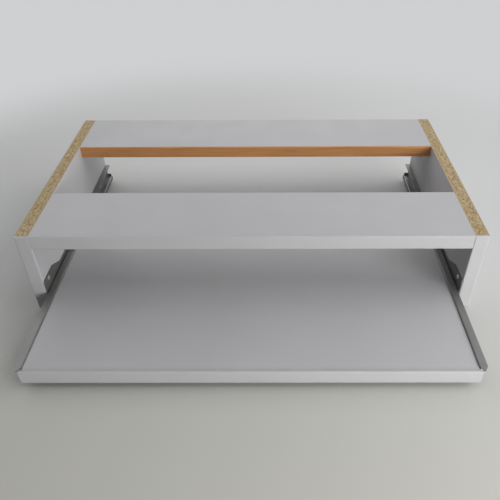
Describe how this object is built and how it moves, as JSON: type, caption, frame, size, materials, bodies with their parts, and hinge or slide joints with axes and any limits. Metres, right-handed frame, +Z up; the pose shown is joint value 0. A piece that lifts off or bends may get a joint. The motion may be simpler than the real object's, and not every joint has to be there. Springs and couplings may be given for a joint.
{
  "type": "pull-out shelf unit with roller drawer slides",
  "caption": "Low open frame of side panels and top rails, with a flat tray that pulls out on bottom-mounted roller drawer slides.",
  "frame": {"origin": "on the floor, midway between the sides and midway between the pulled-out tray's front and the frame's rear", "axes": "+X to the right as seen from the front, +Y to the rear, +Z up; the tray pulls out along -Y"},
  "size_m": [0.6, 0.49, 0.12],
  "materials": {
    "melamine_board": "pale grey-white melamine face on chipboard, raw chipboard on the unbanded edges",
    "white_edge_band": "satin white edge band with rounded edges",
    "beech_edge_band": "satin beech-coloured edge band with fine grain",
    "grey_coated_steel": "semi-matte grey epoxy coat on rolled sheet steel",
    "nylon": "natural moulded nylon",
    "zinc_fastener": "bright zinc-plated steel"
  },
  "bodies": {
    "frame": {"side_panel_left": "melamine_board", "side_panel_right": "melamine_board", "side_band_left": "white_edge_band", "side_band_right": "white_edge_band", "cabinet_member_left": "grey_coated_steel", "cabinet_member_right": "grey_coated_steel", "cabinet_roller_pin_left": "zinc_fastener", "cabinet_roller_pin_right": "zinc_fastener", "cabinet_screws_left": "zinc_fastener", "cabinet_screws_right": "zinc_fastener", "confirmat_screws_left": "zinc_fastener", "confirmat_screws_right": "zinc_fastener", "front_rail": "melamine_board", "front_rail_band": "white_edge_band", "rear_rail": "melamine_board", "rear_rail_band": "beech_edge_band"},
    "tray": {"drawer_member_left": "grey_coated_steel", "drawer_member_right": "grey_coated_steel", "drawer_roller_pin_left": "zinc_fastener", "drawer_roller_pin_right": "zinc_fastener", "drawer_screws_left": "zinc_fastener", "drawer_screws_right": "zinc_fastener", "tray_board": "melamine_board", "tray_front_band": "white_edge_band"},
    "cabinet_roller_left": {"cabinet_roller_left": "nylon"},
    "cabinet_roller_right": {"cabinet_roller_right": "nylon"},
    "drawer_roller_left": {"drawer_roller_left": "nylon"},
    "drawer_roller_right": {"drawer_roller_right": "nylon"}
  },
  "joints": [
    {"name": "tray_slide", "type": "slide", "parent": "frame", "child": "tray", "axis": [0, -1, 0], "range_m": [-0.14, 0.115]},
    {"name": "cabinet_roller_left_spin", "type": "hinge", "parent": "frame", "child": "cabinet_roller_left", "pos_m": [-0.2753, -0.089, 0.0165], "axis": [1, 0, 0], "range_deg": [-803, 660]},
    {"name": "drawer_roller_left_spin", "type": "hinge", "parent": "tray", "child": "drawer_roller_left", "pos_m": [-0.2754, 0.093, 0.0215], "axis": [1, 0, 0], "range_deg": [-803, 660]},
    {"name": "cabinet_roller_right_spin", "type": "hinge", "parent": "frame", "child": "cabinet_roller_right", "pos_m": [0.2753, -0.089, 0.0165], "axis": [1, 0, 0], "range_deg": [-803, 660]},
    {"name": "drawer_roller_right_spin", "type": "hinge", "parent": "tray", "child": "drawer_roller_right", "pos_m": [0.2754, 0.093, 0.0215], "axis": [1, 0, 0], "range_deg": [-803, 660]}
  ],
  "couplings": [
    {"joint": "cabinet_roller_left_spin", "follows": "tray_slide", "rad_per_m": 100},
    {"joint": "drawer_roller_left_spin", "follows": "tray_slide", "rad_per_m": 100},
    {"joint": "cabinet_roller_right_spin", "follows": "tray_slide", "rad_per_m": 100},
    {"joint": "drawer_roller_right_spin", "follows": "tray_slide", "rad_per_m": 100}
  ]
}
